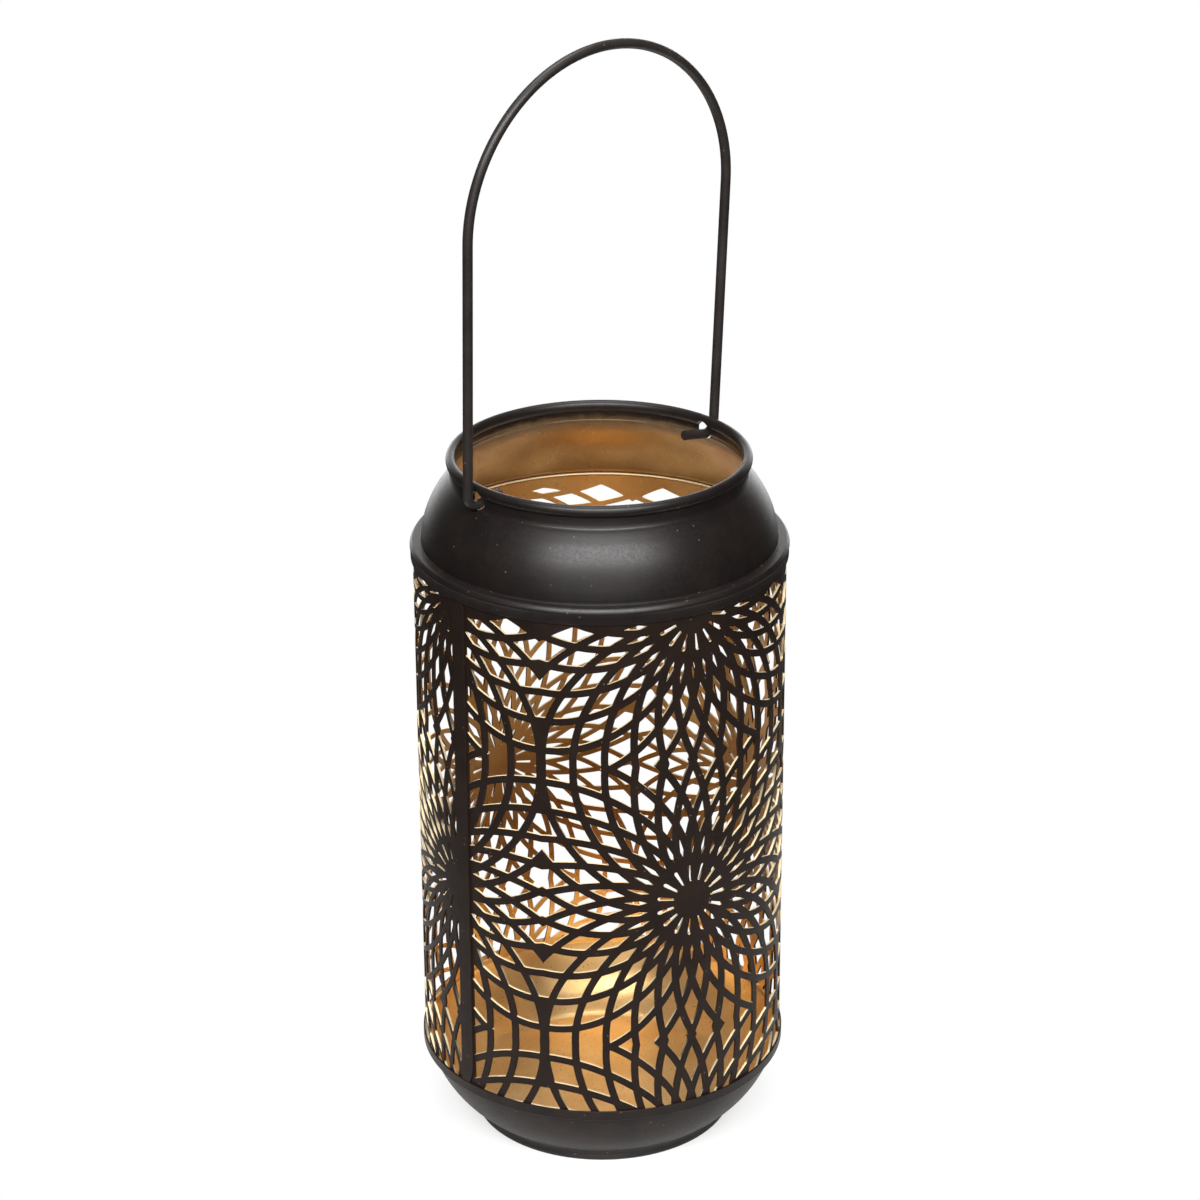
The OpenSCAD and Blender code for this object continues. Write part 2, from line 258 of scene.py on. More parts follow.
def powder_coat(name, thick, thin, speck, ior=1.4, rough=0.36):
    """Black powder coat on steel: sprayed as dust and melted, so it is satin, a little
    uneven like orange peel, and browner where it lies thin."""
    material, tree = new_material(name)
    place = add_node(tree, "ShaderNodeTexCoord")
    # its thickness drifts over about 14 mm
    patches = add_node(tree, "ShaderNodeTexNoise",
                       {"Scale": lumps(14), "Detail": 4.0, "Roughness": 0.6},
                       {"Vector": place.outputs["Object"]})
    tint = add_node(tree, "ShaderNodeValToRGB", {}, {"Fac": patches.outputs["Fac"]},
                    [(0.35, thick), (0.75, thin)])
    # orange peel of powder coat is about 1 mm across
    peel = add_node(tree, "ShaderNodeTexNoise",
                    {"Scale": lumps(1.1), "Detail": 3.0, "Roughness": 0.55},
                    {"Vector": place.outputs["Object"]})
    gloss = add_node(tree, "ShaderNodeValToRGB", {}, {"Fac": peel.outputs["Fac"]},
                     [(0.3, grey(rough)), (0.75, grey(rough + 0.1))])
    bump = add_node(tree, "ShaderNodeBump", {"Strength": 0.12, "Distance": 0.12 * MM},
                    {"Height": peel.outputs["Fac"]})
    # one dust speck in each 5.5 mm, 0.6 mm across, the size that still shows in the picture
    specks = add_node(tree, "ShaderNodeTexVoronoi", {"Scale": lumps(5.5), "Randomness": 1.0},
                      {"Vector": place.outputs["Object"]})
    speck_mask = add_node(tree, "ShaderNodeValToRGB", {}, {"Fac": specks.outputs["Distance"]},
                          [(0.045, grey(1)), (0.075, grey(0))])
    mixed = add_node(tree, "ShaderNodeMix", {"data_type": "RGBA", 7: speck},
                     {0: speck_mask.outputs["Color"], 6: tint.outputs["Color"]})
    shader = add_node(tree, "ShaderNodeBsdfPrincipled", {"IOR": ior, "Metallic": 0.0},
                      {"Base Color": mixed.outputs[2], "Roughness": gloss.outputs["Color"],
                       "Normal": bump.outputs["Normal"]})
    add_node(tree, "ShaderNodeOutputMaterial", links={"Surface": shader.outputs[0]})
    return material


def bronze_paint(name, thick, thin, fade=None, ends=None, metal=0.9):
    """Gold paint sprayed from inside: bronze flakes in clear binder, so it is a dull metal
    with a soft sparkle. With fade=(low, high, coat) black overspray covers it between these
    heights; with ends=(low, high) painted shade darkens and browns it between these heights."""
    material, tree = new_material(name)
    place = add_node(tree, "ShaderNodeTexCoord")
    level = add_node(tree, "ShaderNodeSeparateXYZ", links={0: place.outputs["Object"]})
    # sprayed by hand, so its thickness drifts over about 22 mm
    cloud = add_node(tree, "ShaderNodeTexNoise",
                     {"Scale": lumps(22), "Detail": 3.0, "Roughness": 0.5},
                     {"Vector": place.outputs["Object"]})
    tint = add_node(tree, "ShaderNodeValToRGB", {}, {"Fac": cloud.outputs["Fac"]},
                    [(0.3, thick), (0.7, thin)])
    # the flakes themselves are too fine to show: drawn as a 0.9 mm grain
    flakes = add_node(tree, "ShaderNodeTexNoise",
                      {"Scale": lumps(0.9), "Detail": 2.0, "Roughness": 0.6},
                      {"Vector": place.outputs["Object"]})
    gloss = add_node(tree, "ShaderNodeValToRGB", {}, {"Fac": flakes.outputs["Fac"]},
                     [(0.25, grey(0.26)), (0.8, grey(0.38))])
    bump = add_node(tree, "ShaderNodeBump", {"Strength": 0.12, "Distance": 0.06 * MM},
                    {"Height": flakes.outputs["Fac"]})
    shader = add_node(tree, "ShaderNodeBsdfPrincipled", {"Metallic": metal},
                      {"Roughness": gloss.outputs["Color"], "Normal": bump.outputs["Normal"]})
    base = tint.outputs["Color"]
    # painted shade: darker and browner between the two heights given in ends
    if ends:
        share = add_node(tree, "ShaderNodeMapRange", {"From Min": ends[0], "From Max": ends[1]},
                         {"Value": level.outputs["Z"]})
        depth = add_node(tree, "ShaderNodeValToRGB", {}, {"Fac": share.outputs[0]},
                         [(position, linear(code)) for position, code in PAINTED_SHADE_BY_HEIGHT])
        brown = add_node(tree, "ShaderNodeMix",
                         {"data_type": "RGBA", "blend_type": "MULTIPLY", 0: 1.0},
                         {6: base, 7: depth.outputs["Color"]})
        base = brown.outputs[2]
    if fade:
        low, high, coat = fade
        # the overspray's edge is ragged by 4 mm, in lumps of 5 mm
        ragged = add_node(tree, "ShaderNodeTexNoise",
                          {"Scale": lumps(5), "Detail": 3.0, "Roughness": 0.6},
                          {"Vector": place.outputs["Object"]})
        wobble = add_node(tree, "ShaderNodeMath", {"operation": "MULTIPLY_ADD", 1: 4 * MM},
                          {0: ragged.outputs["Fac"], 2: level.outputs["Z"]})
        over = add_node(tree, "ShaderNodeMapRange", {"From Min": low, "From Max": high},
                        {"Value": wobble.outputs[0]})
        mixed = add_node(tree, "ShaderNodeMix", {"data_type": "RGBA", 7: coat},
                         {0: over.outputs[0], 6: base})
        base = mixed.outputs[2]
        bare = add_node(tree, "ShaderNodeMapRange", {"To Min": metal, "To Max": 0.0},
                        {"Value": over.outputs[0]})
        tree.links.new(bare.outputs[0], shader.inputs["Metallic"])
    tree.links.new(base, shader.inputs["Base Color"])
    add_node(tree, "ShaderNodeOutputMaterial", links={"Surface": shader.outputs[0]})
    return material


def edge_paint_with_painted_light(name, side, top):
    """Gold paint on the cut edges of the holes, with painted light: the edges that face up are
    painted pale as a painted highlight, and the other edges dark as painted shade."""
    material, tree = new_material(name)
    facing = add_node(tree, "ShaderNodeNewGeometry")
    level = add_node(tree, "ShaderNodeSeparateXYZ", links={0: facing.outputs["Normal"]})
    # painted highlight on the edges that face up, painted shade on the rest
    tint = add_node(tree, "ShaderNodeValToRGB", {}, {"Fac": level.outputs["Z"]},
                    [(0.3, side), (0.75, top)])
    metal = add_node(tree, "ShaderNodeValToRGB", {}, {"Fac": level.outputs["Z"]},
                     [(0.3, grey(0)), (0.75, grey(0.45))])
    # so thin a coat has little gloss of its own
    shader = add_node(tree, "ShaderNodeBsdfPrincipled", {"IOR": 1.15, "Roughness": 0.5},
                      {"Base Color": tint.outputs["Color"], "Metallic": metal.outputs["Color"]})
    add_node(tree, "ShaderNodeOutputMaterial", links={"Surface": shader.outputs[0]})
    return material


def lit_laminate(name, studio):
    """Matt white laminate over a light box: it glows a little, and seen from the camera it
    fades into the white of the room."""
    # how far from the lantern's axis the table starts to fade, and from where it is white
    white_from, white_past = 20 * MM, 80 * MM
    material, tree = new_material(name)
    place = add_node(tree, "ShaderNodeTexCoord")
    away = add_node(tree, "ShaderNodeVectorMath", {"operation": "LENGTH"},
                    {0: place.outputs["Object"]})
    near = add_node(tree, "ShaderNodeMapRange", {"From Min": white_from, "From Max": white_past},
                    {"Value": away.outputs["Value"]})
    path = add_node(tree, "ShaderNodeLightPath")
    share = add_node(tree, "ShaderNodeMath", {"operation": "MULTIPLY"},
                     {0: near.outputs[0], 1: path.outputs["Is Camera Ray"]})
    diffuse = add_node(tree, "ShaderNodeBsdfDiffuse", {"Color": studio.floor})
    lit = add_node(tree, "ShaderNodeEmission", {"Color": grey(1), "Strength": 1.0})
    box = add_node(tree, "ShaderNodeEmission", {"Color": grey(1), "Strength": studio.box})
    sheet = add_node(tree, "ShaderNodeAddShader", {}, {0: diffuse.outputs[0], 1: box.outputs[0]})
    seen = add_node(tree, "ShaderNodeMixShader", {},
                    {"Fac": share.outputs[0], 1: sheet.outputs[0], 2: lit.outputs[0]})
    add_node(tree, "ShaderNodeOutputMaterial", links={"Surface": seen.outputs[0]})
    return material


# Meshes

def new_piece(name, mesh, body, cad_node):
    """Puts a mesh into the scene in place of a CAD node."""
    piece = bpy.data.objects.new(name, mesh)
    bpy.context.scene.collection.objects.link(piece)
    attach(piece, body)
    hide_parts(cad_node)
    return piece


def smooth(mesh, degrees):
    """Shades a mesh smooth, but for the edges that turn by more than this."""
    mesh.polygons.foreach_set("use_smooth", [True] * len(mesh.polygons))
    mesh.set_sharp_from_angle(angle=math.radians(degrees))


def from_corner(radius, height, marks):
    """Outline points given in millimetres outward and upward from a corner."""
    return [(radius + out * MM, height + up * MM) for out, up in marks]


def coated(line, index):
    """Outline points with the index of the material on them."""
    return [point + (index,) for point in line]


def lathe(name, outline, materials, segments=288):
    """Turns a closed outline of (radius, height, material index) round the Z axis. A
    point's index is that of the face between it and the next point."""
    on_axis = 1e-6
    mesh = bpy.data.meshes.new(name)
    build = bmesh.new()
    rings = []
    for r, z, _ in outline:
        if r < on_axis:
            rings.append([build.verts.new((0, 0, z))])
        else:
            rings.append([build.verts.new((r * math.cos(t), r * math.sin(t), z))
                          for t in (2 * math.pi * i / segments for i in range(segments))])
    for i, (_, _, index) in enumerate(outline):
        a, b = rings[i], rings[(i + 1) % len(rings)]
        if len(a) == 1 and len(b) == 1:
            continue
        for s in range(segments):
            t = (s + 1) % segments
            corners = [a[s % len(a)], a[t % len(a)], b[t % len(b)], b[s % len(b)]]
            face = build.faces.new(list(dict.fromkeys(corners)))
            face.material_index = index
    bmesh.ops.recalc_face_normals(build, faces=build.faces)
    build.to_mesh(mesh)
    build.free()
    for material in materials:
        mesh.materials.append(material)
    return mesh


def spline(points, steps):
    """Smooth line through points, as (radius, height) pairs."""
    line = []
    for i in range(len(points) - 1):
        a, b = points[max(i - 1, 0)], points[i]
        c, d = points[i + 1], points[min(i + 2, len(points) - 1)]
        for k in range(steps):
            t = k / steps
            line.append(tuple(0.5 * (2 * b[n] + (c[n] - a[n]) * t
                                     + (2 * a[n] - 5 * b[n] + 4 * c[n] - d[n]) * t * t
                                     + (3 * b[n] - a[n] - 3 * c[n] + d[n]) * t ** 3)
                              for n in (0, 1)))
    return line + [tuple(points[-1])]


def offset(line, distance):
    """The same line, this far to the right of its direction."""
    out = []
    for i, (x, y) in enumerate(line):
        before, after = line[max(i - 1, 0)], line[min(i + 1, len(line) - 1)]
        dx, dy = after[0] - before[0], after[1] - before[1]
        size = math.hypot(dx, dy)
        out.append((x + distance * dy / size, y - distance * dx / size))
    return out


def cut_bail_holes(piece, aside, height, radius, reach, material):
    """Drills the two bail holes through the neck, along X."""
    tool_mesh = bpy.data.meshes.new("drill")
    build = bmesh.new()
    bmesh.ops.create_cone(build, cap_ends=True, segments=64, radius1=radius, radius2=radius,
                          depth=2 * reach,
                          matrix=Matrix.Translation((0, aside, height)) @ Matrix.Rotation(
                              math.radians(90), 4, "Y"))
    build.to_mesh(tool_mesh)
    build.free()
    tool_mesh.materials.append(material)
    tool = bpy.data.objects.new("drill", tool_mesh)
    bpy.context.scene.collection.objects.link(tool)
    cut = piece.modifiers.new("bail holes", "BOOLEAN")
    cut.object = tool
    cut.operation = "DIFFERENCE"
    cut.solver = "EXACT"
    cut.material_mode = "TRANSFER"
    bpy.context.view_layer.update()
    done = bpy.data.meshes.new_from_object(
        piece.evaluated_get(bpy.context.evaluated_depsgraph_get()))
    piece.modifiers.clear()
    piece.data = done
    bpy.data.objects.remove(tool)


# The pierced pattern, with its lengths in millimetres and its angles in degrees

# Width of the bars in front, beside and behind, as shares of the bar width
BAR_SHARES = (1, 0.86, 0.72)
# How far along the sheet the front's bars reach, to the right and to the left of the front
# rosettes, and how wide the stretch is in which the bars get finer by one step
FRONT_RIGHT, FRONT_LEFT, FINER_STEP = 80, 120, 40
# Past this place on the right the cells are narrower by this share
NARROW_FROM, NARROW_SHARE = 70, 0.0126
# Least area of a hole of the pattern, and of one that the sheet's border cuts
LEAST_HOLE, LEAST_CUT_HOLE = 7.5, 3.0
# Plain metal left over the ledge and beside the lap
LEDGE_BORDER, LAP_BORDER = 1.6, 0.2


class Rosette:
    """Arms that curl both ways out of a hub: the bars lie where the angle round the hub is
    a whole step plus or minus the arm's curl."""

    # how far an arm has reached when it has curled this much, as shares of the cell's width:
    # it starts at START, gains GROW a degree, and loses SLOW times the square of what it has
    # curled past SLOW_FROM
    START, GROW, SLOW, SLOW_FROM = 0.0833, 0.01702, 0.000201, 24
    MOST_CURL = 58
    # reach of the slots round the hub, as shares of the cell's width, and half their width, as
    # a share of a bar
    SLOT_LOW, SLOT_HIGH, SLOT_HALF = 0.068, 0.128, 0.27

    def __init__(self, sizes, bar):
        self.width, self.height = sizes.cell_width / MM, sizes.cell_height / MM
        self.bar = bar
        self.arms = sizes.arms
        # half the angle between two arms
        self.half = 180 / sizes.arms
        self.start, self.grow = self.START * self.width, self.GROW * self.width
        self.slow = self.SLOW * self.width

    def radius(self, curl):
        """How far from the hub an arm is when it has curled this much."""
        past = max(0.0, curl - self.SLOW_FROM)
        return self.start + self.grow * curl - self.slow * past * past

    def slope(self, curl):
        """How far an arm gains for each degree of curl."""
        least = 0.2
        return max(least, self.grow - 2 * self.slow * max(0.0, curl - self.SLOW_FROM))

    def place(self, ray, knot, p, q):
        """A point of the hole round this knot: p and q run from 0 to 1 across it."""
        h = self.half
        most_drawn = 0.98 * h
        left, right = (ray - knot - 1) * h, (ray + knot - 1) * h
        curl = knot * h
        # the bars' half width as an angle depends on the curl, which a few rounds settle
        for _ in range(8):
            r = self.radius(curl)
            drawn = math.degrees(self.bar / 2 * math.hypot(
                1 / r, math.radians(1) / self.slope(curl)))
            drawn = min(drawn, most_drawn)
            a = left + drawn + p * 2 * (h - drawn)
            b = right + drawn + q * 2 * (h - drawn)
            curl = max(0.0, (b - a) / 2)
        turned = math.radians((a + b) / 2)
        r = self.radius(curl)
        return (-r * math.sin(turned), -r * math.cos(turned))

    def hole(self, ray, knot, steps=4):
        """Outline of one hole, four curved sides."""
        sides = [(1, 0, -1, 0), (0, 0, 0, 1), (0, 1, 1, 0), (1, 1, 0, -1)]
        line = []
        for p, q, dp, dq in sides:
            for k in range(steps):
                t = k / steps
                line.append(self.place(ray, knot, p + dp * t, q + dq * t))
        return line

    def slot(self, angle_round):
        """Outline of one slot between the hub and the ring, with a rounded outer end."""
        t = math.radians(angle_round)
        ray, side = (-math.sin(t), -math.cos(t)), (-math.cos(t), math.sin(t))
        low, high = self.SLOT_LOW * self.width, self.SLOT_HIGH * self.width
        half = self.bar * self.SLOT_HALF
        marks = [(low, -0.55), (low, 0.55), (high - half * 1.3, 1), (high - half * 0.5, 0.75),
                 (high, 0.15), (high, -0.15), (high - half * 0.5, -0.75), (high - half * 1.3, -1)]
        return [tuple(m * ray[n] + w * half * side[n] for n in (0, 1)) for m, w in marks]


def clip(line, nx, ny, limit):
    """The part of an outline with x * nx + y * ny below limit."""
    out = []
    for i, a in enumerate(line):
        b = line[(i + 1) % len(line)]
        u, v = a[0] * nx + a[1] * ny - limit, b[0] * nx + b[1] * ny - limit
        if u <= 0:
            out.append(a)
        if u * v < 0:
            t = u / (u - v)
            out.append((a[0] + (b[0] - a[0]) * t, a[1] + (b[1] - a[1]) * t))
    return out


def clip_all(line, borders):
    """What all of these borders (nx, ny, limit) leave of an outline."""
    for nx, ny, limit in borders:
        line = clip(line, nx, ny, limit) if len(line) > 2 else []
    return line


def joined(line, axis, limit):
    """An outline that ends on a cell's edge, joined to its mirror image there."""
    count, near = len(line), 1e-5
    on_edge = [abs(point[axis] - limit) < near for point in line]
    hit = [i for i in range(count) if on_edge[i] and on_edge[(i + 1) % count]]
    if not hit:
        return line
    turned = [line[(hit[0] + 1 + k) % count] for k in range(count)]
    mirror = [(2 * limit - x, y) if axis == 0 else (x, 2 * limit - y)
              for x, y in reversed(turned[1:-1])]
    return turned + mirror


def area(line):
    """Area in an outline, which is below zero where it runs clockwise."""
    return sum(a[0] * b[1] - b[0] * a[1] for a, b in zip(line, line[1:] + line[:1])) / 2


def cell_holes(rosette):
    """All holes that belong to one cell; those on its right and upper edge are whole."""
    half_w, half_h = rosette.width / 2, rosette.height / 2
    borders = ((1, 0, half_w), (-1, 0, half_w), (0, 1, half_h), (0, -1, half_h))
    on_border, at_corner = 1e-4, 1e-3
    found = []
    for ray in range(2 * rosette.arms):
        for knot in range(1, int(rosette.MOST_CURL / rosette.half)):
            if (ray + knot) % 2 == 0:
                continue
            line = clip_all(rosette.hole(ray, knot), borders)
            # a hole on the left or lower edge belongs to the next cell
            if len(line) < 3 or min(x for x, _ in line) < on_border - half_w \
                    or min(y for _, y in line) < on_border - half_h:
                continue
            line = joined(line, 0, half_w)
            line = [p for p in line if math.hypot(p[0] - half_w, p[1] - half_h) > at_corner]
            found.append(joined(line, 1, half_h))
    return found


def rounded(line, radius):
    """An outline with short sides dropped and its corners rounded."""
    shortest, straight, most_cut = 0.25, -0.9, 0.4
    line = [p for p, q in zip(line, line[1:] + line[:1]) if math.dist(p, q) > shortest]
    out = []
    for i, p in enumerate(line):
        a, b = line[i - 1], line[(i + 1) % len(line)]
        u, v = (a[0] - p[0], a[1] - p[1]), (b[0] - p[0], b[1] - p[1])
        lu, lv = math.hypot(*u), math.hypot(*v)
        cosine = (u[0] * v[0] + u[1] * v[1]) / (lu * lv)
        if cosine < straight:
            out.append(p)
            continue
        cut = min(radius, most_cut * lu, most_cut * lv)
        first = (p[0] + u[0] / lu * cut, p[1] + u[1] / lu * cut)
        last = (p[0] + v[0] / lv * cut, p[1] + v[1] / lv * cut)
        middle = tuple(0.25 * first[n] + 0.5 * p[n] + 0.25 * last[n] for n in (0, 1))
        out += [first, middle, last]
    return out


def cells(kinds, columns, rows, middle):
    """Yields the holes of every cell, moved to their cell, each with its step of bar width.
    Every other cell has its slots mirrored."""
    for i in columns:
        for j in rows:
            flip = 1 if (i + j) % 2 == 0 else -1
            for step, (rosette, lattice, slots) in enumerate(kinds):
                for line in lattice + [[(flip * x, y) for x, y in slot] for slot in slots]:
                    yield step, [(x + i * rosette.width, y + middle + j * rosette.height)
                                 for x, y in line]


def sheet_holes(sizes):
    """Every hole of the sheet laid flat, with x from the front rosettes along the sheet and
    y up, and the x at which the sheet starts."""
    # the bars get finer towards the back; each step has its own holes
    kinds = []
    for share in BAR_SHARES:
        rosette = Rosette(sizes, sizes.bar_width * share / MM)
        lattice = [line for line in cell_holes(rosette) if abs(area(line)) > LEAST_HOLE]
        slots = [rosette.slot((4 * k + 1) * rosette.half) for k in range(rosette.arms // 2)]
        kinds.append((rosette, lattice, slots))
    radius = sizes.radius / MM
    low = (sizes.lap_angle - sizes.rosette_angle) * radius
    high = low + 2 * math.pi * radius - sizes.lap_width / MM
    bottom = sizes.bottom / MM + LEDGE_BORDER
    top = sizes.top / MM - sizes.plain_top / MM
    borders = ((-1, 0, -low - LAP_BORDER), (1, 0, high - LAP_BORDER), (0, -1, -bottom))
    width, last_step = sizes.cell_width / MM, len(BAR_SHARES) - 1
    columns, rows = range(math.floor(low / width) - 1, math.ceil(high / width) + 2), range(-2, 3)
    found = []
    for step, line in cells(kinds, columns, rows, sizes.rosette_height / MM):
        centre = sum(x for x, _ in line) / len(line)
        behind = max(centre - FRONT_RIGHT, -centre - FRONT_LEFT, 0) / FINER_STEP
        if max(y for _, y in line) > top or step != round(min(behind, last_step)):
            continue
        line = [(x - max(0, x - NARROW_FROM) * NARROW_SHARE, y) for x, y in line]
        line = clip_all(line, borders)
        if len(line) < 3 or abs(area(line)) < LEAST_CUT_HOLE:
            continue
        line = rounded(line, sizes.corner_radius / MM)
        if len(line) > 2:
            found.append(line)
    return found, low


def flat_sheet(sizes):
    """The sheet laid flat: its points, the triangles of metal between the holes, and the x of
    its two ends."""
    holes, low = sheet_holes(sizes)
    round_length = 2 * math.pi * (sizes.radius / MM)
    bottom, top = sizes.bottom / MM, sizes.top / MM
    points, faces = [], []
    for line in holes:
        if area(line) < 0:
            line = line[::-1]
        faces.append(list(range(len(points), len(points) + len(line))))
        points += line
    # between the holes a grid of points keeps the rolled sheet round
    columns, rows, clear, near = 192, 74, 1.3, 1e-6
    tree = kdtree.KDTree(len(points))
    for i, p in enumerate(points):
        tree.insert((p[0], p[1], 0), i)
    tree.balance()
    for i in range(columns + 1):
        for j in range(rows + 1):
            x, y = low + round_length * i / columns, bottom + (top - bottom) * j / rows
            border = i in (0, columns) or j in (0, rows)
            if border or tree.find((x, y, 0))[2] > clear:
                points.append((x, y))
    verts, _, triangles, _, _, owners = delaunay_2d_cdt(
        [Vector(p) for p in points], [], faces, 0, near, True)
    metal = [list(t) for t, owner in zip(triangles, owners) if not owner]
    return [(v.x, v.y) for v in verts], metal, (low, low + round_length)


def cut_walls(flat, metal, ends):
    """Faces across the sheet's thickness, along every side that only one triangle has. The
    two ends of the sheet meet under the lap and have none."""
    near = 1e-3
    sides = {}
    for t in metal:
        for a, b in zip(t, t[1:] + t[:1]):
            key = (min(a, b), max(a, b))
            sides[key] = None if key in sides else (a, b)
    walls = []
    for a, b in filter(None, sides.values()):
        if not any(abs(flat[a][0] - end) < near and abs(flat[b][0] - end) < near
                   for end in ends):
            walls.append([b, a, a + len(flat), b + len(flat)])
    return walls


# The sleeve

def sheet_mesh(name, sizes, materials):
    """The pierced sheet, rolled: outer face, inner face and the cut edges of every hole."""
    weld, sharp_from = 0.02 * MM, math.radians(40)
    flat, metal, ends = flat_sheet(sizes)
    walls = cut_walls(flat, metal, ends)
    count = len(flat)
    outer, inner = sizes.radius / MM, (sizes.radius - sizes.thickness) / MM
    verts = []
    for radius in (outer, inner):
        for x, y in flat:
            t = sizes.rosette_angle + x / outer
            verts.append((radius * math.cos(t) * MM, radius * math.sin(t) * MM, y * MM))
    mesh = bpy.data.meshes.new(name)
    mesh.from_pydata(verts, [], metal + [[v + count for v in reversed(t)] for t in metal] + walls)
    index = [0] * len(metal) + [1] * len(metal) + [2] * len(walls)
    mesh.polygons.foreach_set("material_index", index)
    mesh.polygons.foreach_set("use_smooth", [True] * len(metal) * 2 + [False] * len(walls))
    for material in materials:
        mesh.materials.append(material)
    build = bmesh.new()
    build.from_mesh(mesh)
    bmesh.ops.remove_doubles(build, verts=build.verts, dist=weld)
    loose = [v for v in build.verts if not v.link_faces]
    bmesh.ops.delete(build, geom=loose, context="VERTS")
    build.to_mesh(mesh)
    build.free()
    mesh.set_sharp_from_angle(angle=sharp_from)
    return mesh


def lap_mesh(name, sizes, low_z, high_z, material):
    """The raised lap: a strip bent round the sheet, with its edges eased."""
    ease, sunk = 0.25 * MM, 0.3 * MM
    # the free edge curls back a little where the lap ends in the cup
    curl_height, most_curl = 9 * MM, 2.2 * MM
    rows = 80
    radius, raised = sizes.radius, sizes.radius + sizes.thickness
    width, eased = sizes.lap_width / radius, ease / radius
    section = [(radius - sunk, 0), (raised - ease, 0), (raised, eased)]
    section += [(raised, eased + (width - 2 * eased) * k / 4) for k in (1, 2, 3)]
    section += [(raised, width - eased), (raised - ease, width), (radius - sunk, width)]
    verts, faces = [], []
    for j in range(rows + 1):
        z = low_z + (high_z - low_z) * j / rows
        curl = max(0.0, 1 - (z - low_z) / curl_height) ** 2 * most_curl / radius
        for r, turn in section:
            t = sizes.lap_angle - width + turn - curl * turn / width
            verts.append((r * math.cos(t), r * math.sin(t), z))
    count = len(section)
    for j in range(rows):
        for k in range(count - 1):
            a = j * count + k
            faces.append([a, a + 1, a + count + 1, a + count])
    faces.append(list(range(count - 1, -1, -1)))
    faces.append([rows * count + k for k in range(count)])
    mesh = bpy.data.meshes.new(name)
    mesh.from_pydata(verts, [], faces)
    mesh.materials.append(material)
    build = bmesh.new()
    build.from_mesh(mesh)
    bmesh.ops.recalc_face_normals(build, faces=build.faces)
    build.to_mesh(mesh)
    build.free()
    smooth(mesh, degrees=35)
    return mesh


class LANTERN_OT_sleeve(bpy.types.Operator):
    """Makes the pierced sleeve: one rolled sheet with its lattice of holes and its lap"""
    bl_idname = "lantern.sleeve"
    bl_label = "Pierced sleeve"

    def execute(self, context):
        scene = context.scene
        sizes, finish = scene.lantern_sleeve, scene.lantern_finish
        # on the narrow bars the coat lies thin and matt
        coat = material_once("brown_black_powder_coat_on_sheet", powder_coat, finish.sheet_coat,
                             finish.sheet_worn, finish.speck, ior=1.2, rough=0.5)
        # the paint in the sleeve carries painted shade, darker between its two ends
        gold = material_once("gold_bronze_paint_in_sleeve", bronze_paint, finish.cup_deep,
                             finish.cup_gold, ends=(sizes.bottom, sizes.top))
        # the cut edges are painted pale where they face up and dark on their sides: painted
        # highlight and painted shade
        edge = material_once("thin_gold_paint_on_cut_edges", edge_paint_with_painted_light, finish.edge_side_in_painted_shade,
                             finish.edge)
        mesh = sheet_mesh("pierced_sheet", sizes, [coat, gold, edge])
        new_piece("pierced_sheet", mesh, "lantern", "pierced_sleeve")
        # the lap stops just short of the cup's lip and the collar's skirt
        clear = 0.3 * MM
        low = sizes.bottom + scene.lantern_cup.lip_height + clear
        high = sizes.top - scene.lantern_collar.skirt_height - clear
        lap = bpy.data.objects.new("lap_seam", lap_mesh("lap_seam", sizes, low, high, coat))
        scene.collection.objects.link(lap)
        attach(lap, "lantern")
        return {"FINISHED"}


# The collar

# Outline of the dome from the neck down: shares of its width and of its height
DOME_SHARES = [(0, 1), (0.042, 0.954), (0.133, 0.911), (0.255, 0.846), (0.406, 0.757),
               (0.576, 0.636), (0.733, 0.501), (0.861, 0.353), (0.945, 0.205), (0.988, 0.088),
               (1, 0.03)]


def rolled_rim(collar, neck):
    """Outline of the rolled rim, from inside the neck over its top to the outside."""
    steps = 32
    middle = collar.neck_radius - collar.sheet / 2
    height = neck + collar.neck_height + collar.rim_height / 2
    start = math.asin(collar.sheet / collar.rim_width)
    rim = []
    for i in range(steps, -1, -1):
        t = start - math.pi / 2 + (2 * math.pi - 2 * start) * i / steps
        rim.append((middle + collar.rim_width / 2 * math.cos(t),
                    height + collar.rim_height / 2 * math.sin(t)))
    return rim


